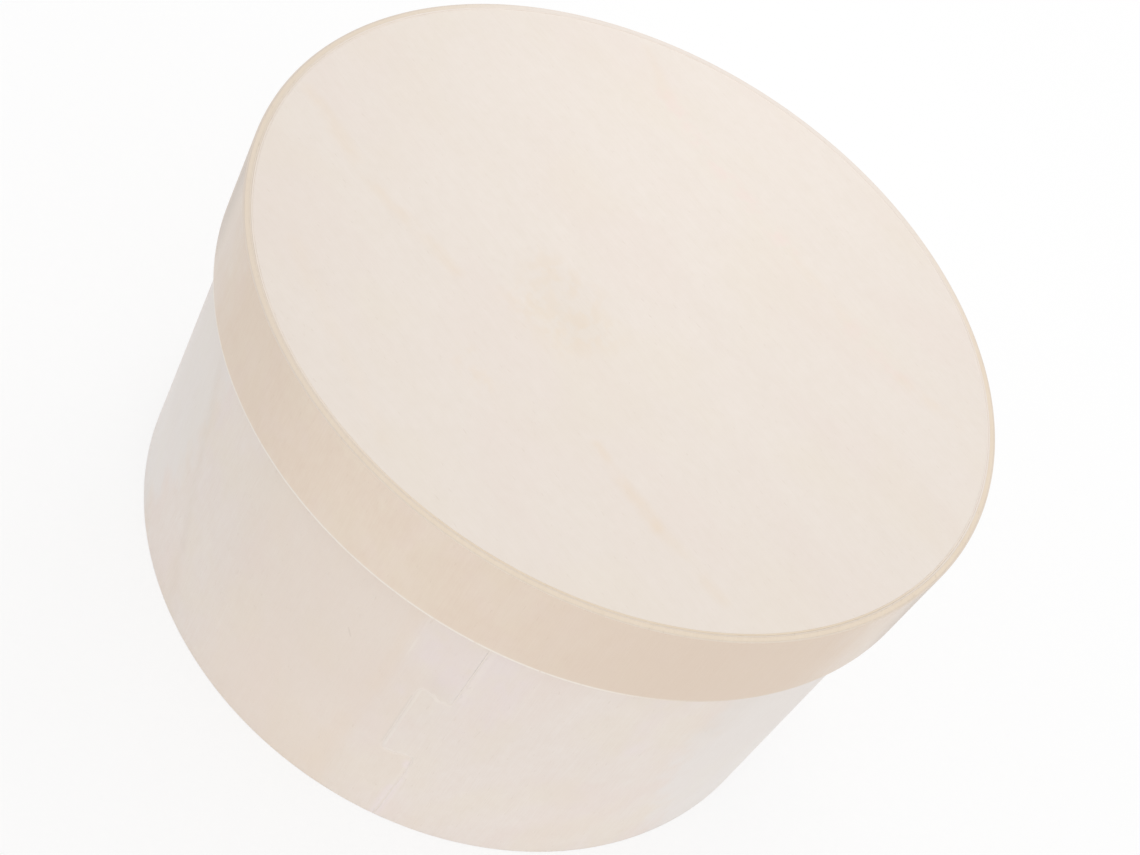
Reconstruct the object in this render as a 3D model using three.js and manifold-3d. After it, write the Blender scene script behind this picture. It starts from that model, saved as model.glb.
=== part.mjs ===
// Round wooden cake box with a lift-off lid, bent and glued up from thin three-ply birch.
// Each veneer, glue joint and backing strip is its own closed solid.
// Millimetres, +Z up, origin at the centre of the underside, body seam facing -Y.
import * as THREE from 'three';
import { mergeVertices, toCreasedNormals } from 'three/addons/utils/BufferGeometryUtils.js';
import Module from 'manifold-3d';

const wasm = await Module();
wasm.setup();

// Bent body wall
const WALL_OUTER_RADIUS = 96.6;
const WALL_HEIGHT = 108.2;
const WALL_OUTER_PLY = 0.45;
const WALL_CORE_PLY = 1.0;
const WALL_INNER_PLY = 0.45;

// Bent lid band
const BAND_HEIGHT = 26;
const BAND_OUTER_PLY = 0.45;
const BAND_CORE_PLY = 1.0;
const BAND_INNER_PLY = 0.45;

// Flat lid disc, set flush inside the top of the band
const LID_DISC_FACE_PLY = 0.7;
const LID_DISC_CORE_PLY = 1.5;
const LID_DISC_BACK_PLY = 0.7;

// Flat base disc, set flush inside the foot of the wall
const BASE_DISC_FACE_PLY = 0.7;
const BASE_DISC_CORE_PLY = 1.5;
const BASE_DISC_BACK_PLY = 0.7;

// Fit of the lid over the wall
const LID_RUNNING_CLEARANCE = 0.5;
const LID_SEAT_GAP = 0.1;

// Glue: the film between glued faces, the joint round each disc and the bead in its corner
const GLUE_FILM = 0.05;
const LID_JOINT_WIDTH = 0.4;
const BASE_JOINT_WIDTH = 0.4;
const LID_BEAD_LEG = 0.9;
const BASE_BEAD_LEG = 1.2;
const GLUE_RECESS = 0.1;

// Interlocking seams: a saw kerf that runs round dovetailed tabs.
// Each pair of shares is where a tab starts and ends, up the height of its panel.
const SEAM_KERF = 0.3;
const WALL_TAB_REACH = 8.4;
const WALL_TAB_SHARES = [[0.267, 0.518], [0.768, 1.2]];
const BAND_TAB_REACH = 7;
const BAND_TAB_SHARES = [[0.3, 0.7]];
const TAB_FLARE = 1.8;
const TAB_CORNER_EASE = 3.4;

// Thin veneer strips glued behind the seams
const WALL_STRIP_WIDTH = 30;
const WALL_STRIP_THICKNESS = 0.6;
const BAND_STRIP_WIDTH = 30;
const BAND_STRIP_THICKNESS = 0.6;
const STRIP_END_GAP = 0.8;

// Resolution and the overrun of every cut past the faces that it cuts
const ROUND_SEGMENTS = 96;
const CORNER_STEPS = 5;
const CREASE_ANGLE = Math.PI / 6;
const OVERRUN = 2;

// Radii, from the wall outwards and inwards
const wallPlies = [WALL_OUTER_PLY, WALL_CORE_PLY, WALL_INNER_PLY];
const bandPlies = [BAND_OUTER_PLY, BAND_CORE_PLY, BAND_INNER_PLY];
const wallInnerRadius = WALL_OUTER_RADIUS - stackThickness(wallPlies);
const bandStandIn = Math.max(BAND_STRIP_THICKNESS + GLUE_FILM, LID_BEAD_LEG);
const bandInnerRadius = WALL_OUTER_RADIUS + LID_RUNNING_CLEARANCE + bandStandIn;
const bandOuterRadius = bandInnerRadius + stackThickness(bandPlies);

// Heights, from the underside up
const baseDiscPlies = [BASE_DISC_BACK_PLY, BASE_DISC_CORE_PLY, BASE_DISC_FACE_PLY];
const lidDiscPlies = [LID_DISC_BACK_PLY, LID_DISC_CORE_PLY, LID_DISC_FACE_PLY];
const baseDiscTop = stackThickness(baseDiscPlies);
const lidDiscBottom = WALL_HEIGHT + LID_SEAT_GAP;
const lidTop = lidDiscBottom + stackThickness(lidDiscPlies);
const bandBottom = lidTop - BAND_HEIGHT;

// Finishes
const bandFace = wood(0xe0cdb9, 0.55);
const bandCore = wood(0xe3cfa6, 0.7);
const wallFace = wood(0xe4d8cc, 0.6);
const wallCore = wood(0xe2d2b4, 0.7);
const discFace = wood(0xece1d6, 0.6);
const discCore = wood(0xe2d0ae, 0.7);
const stripVeneer = wood(0xe6dacb, 0.65);
const driedGlue = wood(0xd9bd7c, 0.35);

function wood(color, roughness) {
  return new THREE.MeshStandardMaterial({ color, roughness, metalness: 0 });
}

// Glued-up plies, with a film between each two
function stackThickness(plies) {
  return plies.reduce((sum, ply) => sum + ply, (plies.length - 1) * GLUE_FILM);
}

// Where each ply of a stack starts and ends, measured from the face that it starts at
function stackLayers(plies) {
  let depth = 0;
  return plies.map((ply) => {
    const layer = { start: depth, end: depth + ply };
    depth = layer.end + GLUE_FILM;
    return layer;
  });
}

// A profile of [radius, height] points turned about Z, counter-clockwise seen with Z up
function turned(profile) {
  const points = profile.map(([radius, height]) => new THREE.Vector2(radius, height));
  return new THREE.LatheGeometry(points, ROUND_SEGMENTS).rotateX(Math.PI / 2);
}

function ring(innerRadius, outerRadius, bottom, top) {
  return turned([
    [outerRadius, bottom],
    [outerRadius, top],
    [innerRadius, top],
    [innerRadius, bottom],
    [outerRadius, bottom],
  ]);
}

function disc(radius, bottom, top) {
  return turned([
    [0, bottom],
    [radius, bottom],
    [radius, top],
    [0, top],
  ]);
}

// Closed mesh to manifold solid and back
function toSolid(geometry) {
  const bare = geometry.clone();
  bare.deleteAttribute('normal');
  bare.deleteAttribute('uv');
  const merged = mergeVertices(bare);
  return new wasm.Manifold(new wasm.Mesh({
    numProp: 3,
    vertProperties: new Float32Array(merged.attributes.position.array),
    triVerts: new Uint32Array(merged.index.array),
  }));
}

function toGeometry(solid) {
  const mesh = solid.getMesh();
  const geometry = new THREE.BufferGeometry();
  geometry.setAttribute('position', new THREE.BufferAttribute(mesh.vertProperties, mesh.numProp));
  geometry.setIndex(new THREE.BufferAttribute(mesh.triVerts, 1));
  return toCreasedNormals(geometry, CREASE_ANGLE);
}

// A line through the points. Each corner is a curve that starts the ease's length before it,
// or half way along the shorter of its two sides.
function easedLine(points, longestEase) {
  const line = new THREE.Path().moveTo(points[0].x, points[0].y);
  for (let i = 1; i < points.length - 1; i += 1) {
    const [before, corner, after] = [points[i - 1], points[i], points[i + 1]];
    const ease = Math.min(longestEase, before.distanceTo(corner) / 2, corner.distanceTo(after) / 2);
    const arrive = corner.clone().add(before.clone().sub(corner).setLength(ease));
    const leave = corner.clone().add(after.clone().sub(corner).setLength(ease));
    line.lineTo(arrive.x, arrive.y);
    line.quadraticCurveTo(corner.x, corner.y, leave.x, leave.y);
  }
  const last = points[points.length - 1];
  line.lineTo(last.x, last.y);
  return line.getPoints(CORNER_STEPS);
}

// The line moved sideways by a distance, to its left where that is positive
function movedAside(line, distance) {
  return line.map((point, i) => {
    const before = line[Math.max(i - 1, 0)];
    const after = line[Math.min(i + 1, line.length - 1)];
    const along = after.clone().sub(before).normalize();
    return new THREE.Vector2(point.x - along.y * distance, point.y + along.x * distance);
  });
}

// The seam's course in the flat panel: straight up, out round each tab and back
function seamCourse(height, reach, tabShares) {
  const corners = [new THREE.Vector2(0, -OVERRUN)];
  for (const [fromShare, toShare] of tabShares) {
    const from = fromShare * height;
    const to = toShare * height;
    corners.push(new THREE.Vector2(0, from + TAB_FLARE));
    corners.push(new THREE.Vector2(-reach, from - TAB_FLARE));
    corners.push(new THREE.Vector2(-reach, to + TAB_FLARE));
    corners.push(new THREE.Vector2(0, to - TAB_FLARE));
  }
  const end = Math.max(height, corners[corners.length - 1].y);
  corners.push(new THREE.Vector2(0, end + OVERRUN));
  return easedLine(corners, TAB_CORNER_EASE);
}

// A slot of some width along the seam's course, from the axis out through the panel, towards -Y
function seamSlot({ height, reach, tabShares, outerRadius }, width) {
  const course = seamCourse(height, reach, tabShares);
  const outline = [...movedAside(course, width / 2), ...movedAside(course, -width / 2).reverse()];
  const depth = outerRadius + OVERRUN;
  const slot = new THREE.ExtrudeGeometry(new THREE.Shape(outline), { depth, bevelEnabled: false });
  return toSolid(slot.rotateX(Math.PI / 2));
}

// A bent panel with its foot at zero: concentric plies, each cut through by the same kerf
function bentPanel(panel) {
  const { name, outerRadius, height, plies, finishes } = panel;
  const layers = stackLayers(plies);
  const kerf = seamSlot(panel, SEAM_KERF);
  return ['outer', 'core', 'inner'].map((place, i) => {
    const whole = ring(outerRadius - layers[i].end, outerRadius - layers[i].start, 0, height);
    return piece(`${name}_${place}_ply`, toGeometry(toSolid(whole).subtract(kerf)), finishes[i]);
  });
}

// Glue that fills the kerf, a little below the panel's faces and edges
function seamGlue({ name, outerRadius, height, plies, ...seam }) {
  const innerRadius = outerRadius - stackThickness(plies);
  const depth = ring(innerRadius, outerRadius - GLUE_RECESS, GLUE_RECESS, height - GLUE_RECESS);
  const fill = seamSlot({ outerRadius, height, ...seam }, SEAM_KERF - GLUE_FILM * 2);
  return piece(`${name}_seam_glue`, toGeometry(toSolid(depth).intersect(fill)), driedGlue);
}

// A flat panel: round plies stacked upwards
function flatPanel({ name, radius, bottom, plies, places, finishes }) {
  const layers = stackLayers(plies);
  return places.map((place, i) => {
    const ply = disc(radius, bottom + layers[i].start, bottom + layers[i].end);
    return piece(`${name}_${place}_ply`, ply, finishes[i]);
  });
}

// A strip of thin veneer that follows the inside of a panel, centred on the -Y side
function backingStrip(panelInnerRadius, thickness, width, bottom, top) {
  const outerRadius = panelInnerRadius - GLUE_FILM;
  const round = toSolid(ring(outerRadius - thickness, outerRadius, bottom, top));
  const slab = new THREE.BoxGeometry(width, outerRadius, top - bottom + OVERRUN);
  slab.translate(0, -outerRadius / 2 - OVERRUN, (bottom + top) / 2);
  return toGeometry(round.intersect(toSolid(slab)));
}

function piece(name, geometry, material) {
  const mesh = new THREE.Mesh(geometry, material);
  mesh.name = name;
  return mesh;
}

function bodyWall() {
  const wall = {
    name: 'wall',
    outerRadius: WALL_OUTER_RADIUS,
    height: WALL_HEIGHT,
    reach: WALL_TAB_REACH,
    tabShares: WALL_TAB_SHARES,
    plies: wallPlies,
    finishes: [wallFace, wallCore, wallFace],
  };
  return [...bentPanel(wall), seamGlue(wall), wallSeamStrip()];
}

function wallSeamStrip() {
  const bottom = baseDiscTop + BASE_BEAD_LEG + STRIP_END_GAP;
  const top = WALL_HEIGHT - STRIP_END_GAP;
  const strip = backingStrip(wallInnerRadius, WALL_STRIP_THICKNESS, WALL_STRIP_WIDTH, bottom, top);
  return piece('wall_seam_strip', strip, stripVeneer);
}

function baseDisc() {
  return flatPanel({
    name: 'base_disc',
    radius: wallInnerRadius - BASE_JOINT_WIDTH,
    bottom: 0,
    plies: baseDiscPlies,
    places: ['back', 'core', 'face'],
    finishes: [discFace, discCore, discFace],
  });
}

// Glue in the joint round the base disc, with a bead in the corner above it
function baseGlueRing() {
  const outer = wallInnerRadius - GLUE_FILM;
  const inner = wallInnerRadius - BASE_JOINT_WIDTH + GLUE_FILM;
  const shelf = baseDiscTop + GLUE_FILM;
  const profile = [
    [outer, GLUE_RECESS],
    [outer, baseDiscTop + BASE_BEAD_LEG],
    [outer - BASE_BEAD_LEG, shelf],
    [inner, shelf],
    [inner, GLUE_RECESS],
    [outer, GLUE_RECESS],
  ];
  return piece('base_glue_ring', turned(profile), driedGlue);
}

// The band and its strip are made with their foot at zero and their seam towards -Y,
// then turned so that the seam is at the back, and raised to the lid's height.
function lidBand() {
  const band = {
    name: 'lid_band',
    outerRadius: bandOuterRadius,
    height: BAND_HEIGHT,
    reach: BAND_TAB_REACH,
    tabShares: BAND_TAB_SHARES,
    plies: bandPlies,
    finishes: [bandFace, bandCore, bandFace],
  };
  const turnedBand = new THREE.Group().add(...bentPanel(band), seamGlue(band), bandSeamStrip());
  turnedBand.rotation.z = Math.PI;
  turnedBand.position.z = bandBottom;
  return turnedBand;
}

function bandSeamStrip() {
  const bottom = STRIP_END_GAP;
  const top = lidDiscBottom - bandBottom - LID_BEAD_LEG - STRIP_END_GAP;
  const strip = backingStrip(bandInnerRadius, BAND_STRIP_THICKNESS, BAND_STRIP_WIDTH, bottom, top);
  return piece('lid_band_seam_strip', strip, stripVeneer);
}

function lidDisc() {
  return flatPanel({
    name: 'lid_disc',
    radius: bandInnerRadius - LID_JOINT_WIDTH,
    bottom: lidDiscBottom,
    plies: lidDiscPlies,
    places: ['back', 'core', 'face'],
    finishes: [discFace, discCore, discFace],
  });
}

// Glue in the joint round the lid disc, with a bead in the corner below it
function lidGlueRing() {
  const outer = bandInnerRadius - GLUE_FILM;
  const inner = bandInnerRadius - LID_JOINT_WIDTH + GLUE_FILM;
  const shelf = lidDiscBottom - GLUE_FILM;
  const profile = [
    [outer, lidDiscBottom - LID_BEAD_LEG],
    [outer, lidTop - GLUE_RECESS],
    [inner, lidTop - GLUE_RECESS],
    [inner, shelf],
    [outer - LID_BEAD_LEG, shelf],
    [outer, lidDiscBottom - LID_BEAD_LEG],
  ];
  return piece('lid_glue_ring', turned(profile), driedGlue);
}

const box = new THREE.Group().add(...bodyWall(), ...baseDisc(), baseGlueRing());
const lid = new THREE.Group().add(lidBand(), ...lidDisc(), lidGlueRing());
const cakeBox = new THREE.Group().add(box, lid);

export default cakeBox;
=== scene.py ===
"""Looks of a round bentwood cake box with a lift-off lid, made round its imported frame.

Metres, +Z up, origin at the centre of the underside. The wall's seam faces -Y and the lid's seam +Y.
Every bent veneer is cut out flat, with its seam, and then bent round, as the real ones are.
"""
import math
from collections import Counter

import bpy
from mathutils import Color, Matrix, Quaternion, Vector
from mathutils.geometry import delaunay_2d_cdt


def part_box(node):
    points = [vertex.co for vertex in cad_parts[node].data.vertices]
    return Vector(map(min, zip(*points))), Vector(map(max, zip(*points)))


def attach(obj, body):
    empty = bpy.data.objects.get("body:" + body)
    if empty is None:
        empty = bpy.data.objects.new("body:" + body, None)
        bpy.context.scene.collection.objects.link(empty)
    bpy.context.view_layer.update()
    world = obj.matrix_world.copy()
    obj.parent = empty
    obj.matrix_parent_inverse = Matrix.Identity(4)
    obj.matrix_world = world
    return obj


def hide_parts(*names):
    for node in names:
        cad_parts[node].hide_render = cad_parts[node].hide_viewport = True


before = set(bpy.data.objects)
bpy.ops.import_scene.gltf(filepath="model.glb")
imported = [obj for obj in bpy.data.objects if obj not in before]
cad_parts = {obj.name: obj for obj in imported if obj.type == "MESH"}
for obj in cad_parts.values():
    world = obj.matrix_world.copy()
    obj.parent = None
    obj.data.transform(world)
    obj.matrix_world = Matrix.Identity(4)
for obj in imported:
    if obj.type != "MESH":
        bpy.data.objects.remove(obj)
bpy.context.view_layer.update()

# Where the camera stands, what it looks at and how far it is rolled to its left
CAMERA_PLACE = Vector((-0.05475, -0.35599, 0.42008))
CAMERA_AIM = Vector((0.00416, 0.00129, 0.05565))
CAMERA_ROLL = math.radians(33.29)
CAMERA_LENS_MM = 60.89
CAMERA_SENSOR_MM = 36.0

# Glue: the film between two plies, how far a seam's glue stays clear of the wood, and the beads' unevenness
GLUE_FILM = 0.00002
SEAM_GLUE_CLEARANCE = 0.00001
SEAM_GLUE_RECESS = 0.00002
GLUE_WOBBLE = 0.00008
GLUE_WOBBLE_SIZE = 0.005

# Interlocking seams. The wall's and the band's each say how far the tabs reach, how far to the right of its
# foot the seam stands from its first tab on, and the shares of the height where each tab starts and ends.
SEAM_KERF = 0.0003
TAB_FLARE = 0.0018
TAB_CORNER_EASE = 0.0034
WALL_SEAM = (0.0081, 0.0007, ((0.267, 0.518), (0.768, 1.2)))
BAND_SEAM = (0.007, 0.0, ((0.3, 0.7),))
SEAM_OVERRUN = 0.002
LID_SEAM_TURN = math.pi

# How far sharp edges are eased with sandpaper, and how wide the frayed lip along a cut is
WALL_EASE = 0.00003
BAND_EASE = 0.0002
DISC_EASE = 0.00015
STRIP_EASE = 0.0001
EASE_STEPS = 2
LIP_WIDTH = 0.0009

# Fineness of the meshes. The last is the kind of cut that keeps only what lies within an outline.
COLUMNS_ROUND = 720
CORNER_STEPS = 10
MERGE_DISTANCE = 1e-6
CUT_TOLERANCE = MERGE_DISTANCE / 10
SHARP_ANGLE = math.radians(35)
CUT_WITHIN_OUTLINE = 3

# Noise: its usual detail, and the middle of its values
USUAL_DETAIL = 2.0
NOISE_MIDDLE = 0.5

# Veneer: its figure, fibres, rays, pores and mottling. Each has its width and length, and its noise's detail
# and seed.
FIGURE = ((0.014, 0.13), 3.0, 3.1)
FIBRES = ((0.00035, 0.008), 3.0, 7.7)
RAYS = ((0.0022, 0.0030), 1.0, 33.3)
PORES = ((0.0005, 0.0024), 1.0, 12.3)
PORE_RANGE = (0.70, 0.78)
MOTTLE = ((0.007, 0.009), 3.0, 21.9)
LID_GRAIN_ANGLE = math.radians(-34.7)
BASE_GRAIN_ANGLE = math.radians(20)

# Colours, as they look on a screen. A wood's or a glue's tones are a deep one and a pale one.
LID_TONES = (237, 226, 215), (242, 232, 223)
BASE_TONES = (230, 217, 205), (240, 230, 220)
WALL_TONES = (237, 225, 216), (242, 233, 226)
BAND_TONES = (231, 212, 194), (238, 222, 205)
STRIP_TONES = (234, 220, 204), (241, 230, 216)
CORE_TONES = (232, 215, 194), (239, 224, 205)
END_GRAIN_TONES = (233, 217, 200), (239, 226, 210)
RIM_GRAIN_TONES = (227, 212, 195), (233, 220, 205)
GLUE_TONES = (234, 217, 194), (241, 227, 206)
RIM_GLUE_TONES = (229, 211, 187), (237, 222, 200)
SEAM_GLUE_TONES = (238, 226, 216), (244, 234, 226)
PORE = (196, 172, 148)
AMBER = (238, 213, 180)
STAIN = (206, 190, 172)
PAINTED_SHEEN = (238, 234, 231)
BAND_SHADE = (224, 205, 187)
SIDE_SHADE = (150, 140, 130)
ROSE = (238, 221, 213)
BLUSH = (247, 219, 214)
STRAW = (238, 227, 207)
WARM = (238, 222, 207)
LAVENDER = (235, 222, 222)
PINK = (243, 230, 232)
WALL_SHADE = (206, 194, 182)
SEAM_SHADE = (200, 194, 186)
FLECK = (150, 128, 108)
LIP_PALE = (250, 243, 234)

# How the grain shows. Each finish is a roughness and the depth of its relief.
GRAIN_WEIGHTS = {"Figure": 0.45, "Fibres": 0.68, "Rays": 0.6, "Mottle": 0.55}
PORE_DEPTH = 0.12
FIBRE_RANGE = (0.3, 0.7)
ROUGHNESS_SPREAD = 0.06
DISC_FINISH = (0.6, 0.00002)
WALL_FINISH = (0.5, 0.00003)
BAND_FINISH = (0.5, 0.00002)
EDGE_FINISH = (0.75, 0.00005)
GLUE_CLOUD = ((0.003, 0.003), 3.0, 2.0)
GLUE_ROUGHNESS = (0.28, 0.5)
GLUE_RELIEF = 0.00003

# Soft tints in the veneer: colour, how large its clouds are, their seed and their strength
CLOUD_RANGE = (0.45, 0.65)
LID_TINTS = ((ROSE, (0.02, 0.05), 1.7, 0.16), (STRAW, (0.03, 0.04), 8.2, 0.16))
WALL_TINTS = ((ROSE, (0.022, 0.03), 4.4, 0.3), (STRAW, (0.018, 0.028), 9.1, 0.25))
BAND_TINTS = ((ROSE, (0.008, 0.012), 2.6, 0.2), (STRAW, (0.009, 0.013), 6.3, 0.2))

# Marks: the points of each, its half width and its strength. They wander a little and break up in specks.
MARK_WANDER = 0.0016
MARK_WANDER_SIZE = 0.012
FLATTENED = (1.0, 1.0, 0.0)
SPECK_DETAIL, SPECK_SEED = 3.0, 5.0
MARK_SPECKS = (0.009, 0.009)
MARK_BREAKS = (0.26, 0.6)
BLOTCH_SPECKS = (0.0035, 0.0045)
BLOTCH_BREAKS = (0.4, 0.62)
BLUSH_SPECKS = (0.0045, 0.006)
BLUSH_BREAKS = (0.4, 0.6)
LID_STREAKS = (
    (((-0.0944, 0.0097), (-0.0698, -0.0096), (-0.0429, -0.0243)), 0.0034, 0.17),
    (((0.0021, -0.0546), (0.0214, -0.0686)), 0.0029, 0.23),
    (((0.0214, -0.0686), (0.0401, -0.0792)), 0.0034, 0.13),
    (((-0.0208, 0.0917), (-0.0113, 0.0764)), 0.0036, 0.11),
    (((0.0348, 0.0407), (0.0541, 0.0257)), 0.0034, 0.09),
    (((0.0708, 0.0151), (0.0884, 0.0088)), 0.0036, 0.18),
    (((-0.08, -0.0391), (-0.0423, -0.0807)), 0.0034, 0.07),
)
LID_BLUSHES = (
    (((-0.0113, 0.0764), (-0.0052, 0.0703), (0.0048, 0.0609), (0.0348, 0.0407)), 0.005, 0.24),
    (((0.0541, 0.0257), (0.0708, 0.0151)), 0.006, 0.16),
)
LID_BLOTCHES = (
    (((-0.023, -0.009), (-0.013, -0.013), (-0.007, -0.021)), 0.011, 0.18),
    (((-0.025, -0.022), (-0.014, -0.027)), 0.011, 0.18),
    (((-0.033, -0.048), (-0.027, -0.053)), 0.006, 0.16),
)
LID_STAINS = ((((-0.023, -0.012), (-0.01, -0.02)), 0.013, 0.07),)
LID_FLECKS = (
    (((-0.0486, 0.0056), (-0.047, 0.0042)), 0.0005, 0.4),
    (((-0.0888, -0.035), (-0.0888, -0.0366)), 0.0004, 0.3),
    (((0.0717, 0.0427), (0.0725, 0.0427)), 0.0004, 0.3),
)
WALL_STAINS_AND_SHADE = (
    (((-0.1, 0.08), (-0.09, 0.048), (-0.082, 0.022)), 0.003, 0.09),
    (((-0.082, 0.022), (-0.078, 0.004)), 0.003, 0.06),
    # painted shade, which holds the painted sheen back at the wall's upper right
    (((0.0675, 0.084), (0.0665, 0.064)), 0.01, 0.1),
)
# Painted shadows along the seam: dark lines by it and by the tab's left edge, and a faint patch above the tab
WALL_SEAM_SHADES = (
    (((-0.0082, 0.052), (-0.0082, 0.0305)), 0.0007, 0.18),
    (((0.0001, 0.0298), (0.0006, 0.0262)), 0.0007, 0.16),
    (((0.0006, 0.059), (0.0006, 0.085)), 0.0007, 0.1),
    (((-0.005, 0.0605), (-0.003, 0.0585)), 0.0055, 0.08),
)
# Pale frayed lips along the seam, with painted highlights where the tab's rounded edges catch the light
WALL_SEAM_LIPS_AND_HIGHLIGHTS = (
    (((-0.0067, 0.028), (-0.0045, 0.0284), (-0.0018, 0.0298)), 0.0011, 0.24),
    (((-0.0042, 0.0566), (-0.0028, 0.0552), (-0.001, 0.0556)), 0.001, 0.24),
    (((0.0019, 0.059), (0.0019, 0.085)), 0.0012, 0.14),
    (((-0.0007, 0.0), (-0.0002, 0.024)), 0.0008, 0.08),
    (((0.0011, 0.0), (0.0016, 0.024)), 0.0008, 0.08),
)
WALL_STREAKS = (
    (((-0.017, 0.085), (-0.0165, 0.048)), 0.0036, 0.08),
    (((-0.019, 0.03), (-0.02, 0.006)), 0.005, 0.08),
)
WALL_FLECKS = ((((-0.0292, 0.06), (-0.0278, 0.058)), 0.0004, 0.12),)
WALL_COOL_STREAKS = (
    (((0.044, 0.08), (0.047, 0.056)), 0.005, 0.3),
    (((-0.09, 0.076), (-0.085, 0.044)), 0.005, 0.3),
    (((-0.013, 0.074), (-0.004, 0.065)), 0.007, 0.25),
)

# Wall, as lengths from its seam: painted sheen, cool and pale, at the ends round a middle, painted shade
# towards its top, and the warm part of its far end
SHEEN_MIDDLE = -0.015
SHEEN_REACH = (0.076, 0.087)
SHEEN_UNEVEN = 0.02
SHEEN_END = (0.13, 0.21)
SHEEN_STRENGTH = 0.6
SHEEN_LEAN_LEVEL = (0.0, 0.05)
SHEEN_LEAN = (-0.011, 0.003)
UPPER_SHADE_LEVEL = (0.01, 0.055)
UPPER_SHADE_STRENGTH = 0.11
WARM_RISE = (-0.075, -0.045)
WARM_FALL = (-0.018, -0.013)
WARM_STRENGTH = 0.5
WARM_LEAST = 0.3

# Wall by its seam: the strip's ghost with the lines along its edges, a cool stripe and the lip, whose near
# side is paler as a painted highlight
GHOST_REACH = (0.0105, 0.0152)
GHOST_LEVEL = (0.052, 0.068)
GHOST_UNEVEN = 0.06
GHOST_SPECKS = ((0.008, 0.01), USUAL_DETAIL, 14.2)
GHOST_BREAKS = (0.36, 0.58)
GHOST_STRENGTH = 0.38
GHOST_LINE_AT = 0.0145
GHOST_LINE_HALF_WIDTH = 0.0005
GHOST_LINE_FADE = (-0.01, 0.01)
GHOST_LINE_STRENGTHS = 0.22, 0.08
STRIPE_REACH = (0.0004, 0.0022)
STRIPE_LEVEL = (0.018, 0.028)
STRIPE_STRENGTH = 0.5
LIP_RANGE = (0.1, 0.9)
LIP_REACH = (0.012, 0.014)
NEAR_LIP_STRENGTH, FAR_LIP_STRENGTH = 0.24, 0.12

# Band, as lengths from its front: painted sheen at its ends, painted shade to its right and left and at its
# two sides, and the fray along its lower edge
BAND_SHEEN_MIDDLE = -0.011
BAND_SHEEN_REACH = (0.084, 0.112)
BAND_SHEEN_STRENGTH = 0.35
LEFT_SHADE_RISE = (-0.085, -0.05)
LEFT_SHADE_STRENGTH = 0.35
SHADE_RISE = (-0.035, 0.05)
SHADE_FALL = (0.07, 0.1)
SHADE_STRENGTH = 0.86
SHADE_LEAST = 0.45
# Painted shade at the band's two sides
BAND_SIDE_SHADES = (
    (((0.112, 0.0), (0.1085, 0.026)), 0.015, 0.26),
    (((-0.1345, 0.0), (-0.1345, 0.026)), 0.014, 0.24),
)
FRAY_RANGE = (0.0, 0.6)
FRAY_RISE = (-0.26, -0.18)
FRAY_FADE = (0.02, 0.06)
FRAY_FADED = 0.15
FRAY_LEAST = 0.4
FRAY_STRENGTH = 0.85
FRAY_SPECKS = ((0.0012, 0.004), USUAL_DETAIL, 3.3)
FRAY_BREAKS = (0.2, 0.45)

# Lid's rim, which pales towards its back and differs to its left. Each cast has its direction, how far that
# way it starts and is full, and its colour.
RIM_INSIDE_BACK = (math.radians(70), (-0.05, 0.035), (240, 229, 219))
RIM_OUTSIDE_BACK = (math.radians(90), (0.025, 0.095), (238, 228, 219))
RIM_LEFT = (math.radians(190), (0.03, 0.09))
RIM_GLUE_CASTS = (RIM_INSIDE_BACK, (*RIM_LEFT, (237, 225, 213)))
RIM_INNER_CASTS = (RIM_INSIDE_BACK,)
RIM_CORE_CASTS = (RIM_OUTSIDE_BACK, (*RIM_LEFT, (231, 216, 198)))
RIM_OUTER_CASTS = (RIM_OUTSIDE_BACK, (*RIM_LEFT, (224, 211, 198)))

# Glue beads: how hollow they are, and in how many steps
BEAD_HOLLOW = 0.5
BEAD_STEPS = 5

# Room: how much of the white world lights the object, the floor, its glow and how far off it is all glow
WHITE = (1.0, 1.0, 1.0, 1.0)
ROOM_LIGHT = 0.85
FLOOR_COLOUR = (0.9, 0.9, 0.9, 1.0)
FLOOR_GLOW_SHARE = 0.7
FLOOR_FADE = (0.12, 0.6)
FLOOR_SIZE = 6.0
FLOOR_DROP = -0.0001

# Lamps: name, place, size and power
LAMPS = (
    ("window", (0.03, 0.36, 0.42), 0.3, 0.36),
    ("fill", (0.42, -1.15, 0.45), 0.9, 1.75),
)


# Objects and the camera
def new_object(name, data):
    obj = bpy.data.objects.new(name, data)
    bpy.context.scene.collection.objects.link(obj)
    return obj


def turn_to(obj, place, aim, roll=0.0):
    obj.location = place
    level = (aim - place).to_track_quat("-Z", "Y")
    obj.rotation_mode = "QUATERNION"
    obj.rotation_quaternion = level @ Quaternion((0, 0, 1), roll)


def make_camera():
    camera = new_object("camera", bpy.data.cameras.new("camera"))
    camera.data.sensor_width = CAMERA_SENSOR_MM
    camera.data.lens = CAMERA_LENS_MM
    turn_to(camera, CAMERA_PLACE, CAMERA_AIM, CAMERA_ROLL)
    bpy.context.scene.camera = camera


make_camera()


# Sizes read from the frame
def outer_radius(node):
    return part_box(node)[1].x


def foot(node):
    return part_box(node)[0].z


def top(node):
    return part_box(node)[1].z


def rise(node):
    return top(node) - foot(node)


# Node trees
def fill(tree, socket, value):
    """Gives a socket its value, or links it where the value is another node's output."""
    if isinstance(value, bpy.types.NodeSocket):
        tree.links.new(value, socket)
    else:
        socket.default_value = value


def add(tree, kind, inputs=None, **settings):
    """Adds a node with its settings, and fills its inputs by name or number."""
    made = tree.nodes.new(kind)
    for name, value in settings.items():
        setattr(made, name, value)
    for key, value in (inputs or {}).items():
        fill(tree, made.inputs[key], value)
    return made


def out(tree, kind, inputs=None, **settings):
    """Adds a node and gives its first output."""
    return add(tree, kind, inputs, **settings).outputs[0]


def calc(tree, operation, *values):
    return out(tree, "ShaderNodeMath", dict(enumerate(values)), operation=operation)


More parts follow.
